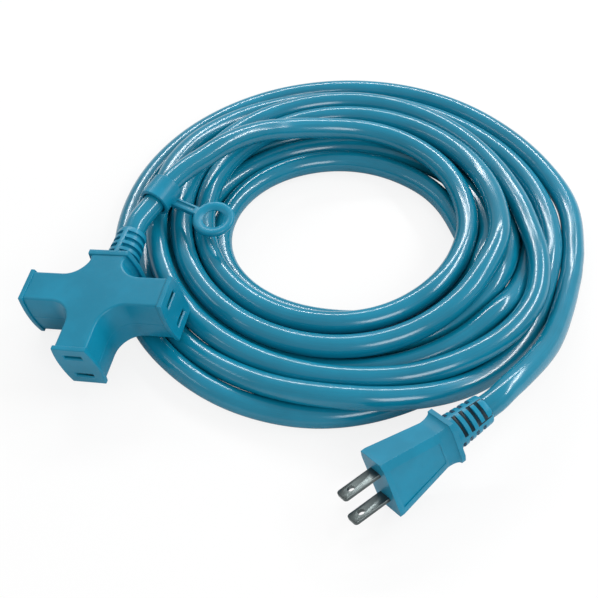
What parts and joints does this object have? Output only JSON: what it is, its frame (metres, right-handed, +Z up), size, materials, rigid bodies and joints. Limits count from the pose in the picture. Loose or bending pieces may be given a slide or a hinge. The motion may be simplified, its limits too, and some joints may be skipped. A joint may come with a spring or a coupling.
{
  "type": "shore power cord",
  "caption": "Outdoor extension cord laid in a coil, with a two-blade plug, slotted strain reliefs, a hanging ring and a cross-shaped tap with outlets on its arms",
  "frame": {"origin": "On the floor, under the middle of the tap with its strain relief and inner parts", "axes": "+Z is up, +X runs from the tap's left outlet towards the coil, +Y away from the tap's front outlet"},
  "size_m": [0.2512, 0.2683, 0.0399],
  "materials": {
    "moulding": "satin",
    "sheath": "gloss",
    "insulator": "matte",
    "brass": "satin",
    "nickel": "polished",
    "wire": "gloss"
  },
  "bodies": {
    "cord_set": {"tap_shell": "moulding", "tap_carrier_upper": "insulator", "tap_carrier_lower": "insulator", "tap_line_bus": "brass", "tap_neutral_bus": "brass", "left_line_clip": "brass", "left_neutral_clip": "brass", "front_line_clip": "brass", "front_neutral_clip": "brass", "right_line_clip": "brass", "right_neutral_clip": "brass", "tap_line_wire": "wire", "tap_neutral_wire": "wire", "tap_strain_relief": "moulding", "lead_to_tap": "sheath", "coil": "sheath", "lead_to_plug": "sheath", "plug_strain_relief": "moulding", "plug_shell": "moulding", "plug_bridge": "insulator", "line_blade": "nickel", "neutral_blade": "nickel", "plug_line_wire": "wire", "plug_neutral_wire": "wire"},
    "hanging_ring": {"hanger": "moulding"}
  },
  "joints": [
    {"name": "ring_swing", "type": "hinge", "parent": "cord_set", "child": "hanging_ring", "pos_m": [0.02, 0.05625, 0.0285], "axis": [-0.5039, -0.8504, -0.1512], "range_deg": [0, 150]}
  ]
}
